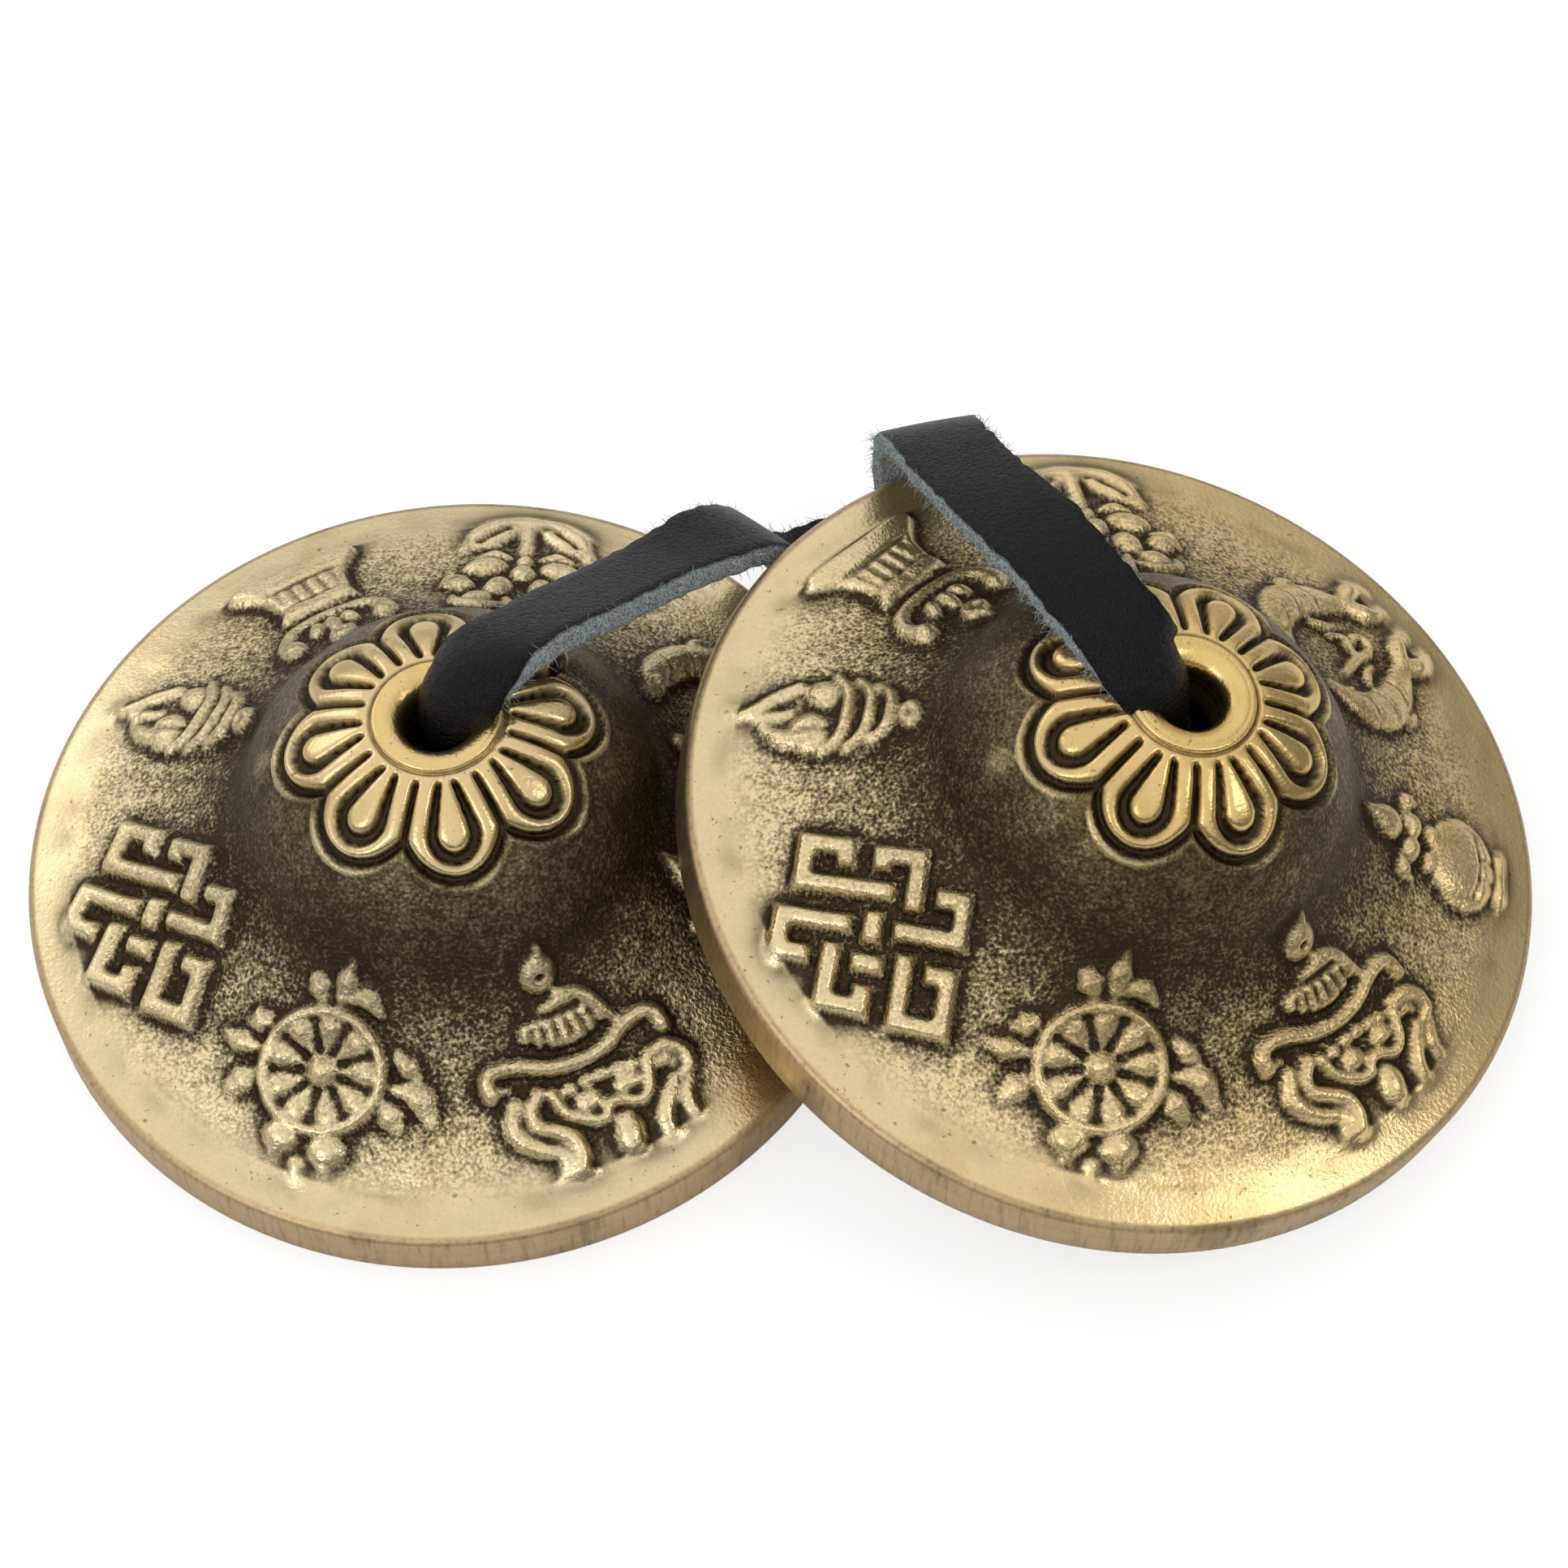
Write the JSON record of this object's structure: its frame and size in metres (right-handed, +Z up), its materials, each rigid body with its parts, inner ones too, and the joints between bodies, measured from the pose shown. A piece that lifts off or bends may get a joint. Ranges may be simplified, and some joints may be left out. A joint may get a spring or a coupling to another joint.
{
  "type": "tingsha cymbals",
  "caption": "Pair of small cast brass bell cymbals with raised auspicious symbols and a lotus rosette, hung on one black leather strap knotted under each dome.",
  "frame": {"origin": "on the ground plane under the middle of the two cymbals", "axes": "+X from the flat cymbal to the leaning one, +Y away from the viewer, +Z up"},
  "size_m": [0.1137, 0.0677, 0.0332],
  "materials": {
    "brass": "cast and hand polished, dark patina in the recesses",
    "leather": "black grain face with raw grey cut edges"
  },
  "bodies": {
    "left_cymbal": {"left_cymbal": "brass"},
    "left_knot": {"left_knot": "leather"},
    "strap_left": {"strap_left": "leather", "strap_loop": "leather"},
    "strap_right": {"strap_right": "leather", "right_knot": "leather"},
    "right_cymbal": {"right_cymbal": "brass"}
  },
  "joints": [
    {"name": "left_spin", "type": "hinge", "parent": "left_cymbal", "child": "left_knot", "pos_m": [-0.02438, 0, 0.0236], "axis": [0, 0, 1], "continuous": true},
    {"name": "left_bend", "type": "hinge", "parent": "left_knot", "child": "strap_left", "pos_m": [-0.02438, 0, 0.025], "axis": [0.7314, -0.682, 0], "range_deg": [0, 50]},
    {"name": "strap_fold", "type": "hinge", "parent": "strap_left", "child": "strap_right", "pos_m": [0.00993, 0.02468, 0.02266], "axis": [-0.809, -0.5878, 0], "range_deg": [0, 70]},
    {"name": "right_spin", "type": "hinge", "parent": "strap_right", "child": "right_cymbal", "pos_m": [0.02859, -0.001, 0.02946], "axis": [0.1896, -0.0424, 0.981], "continuous": true}
  ]
}
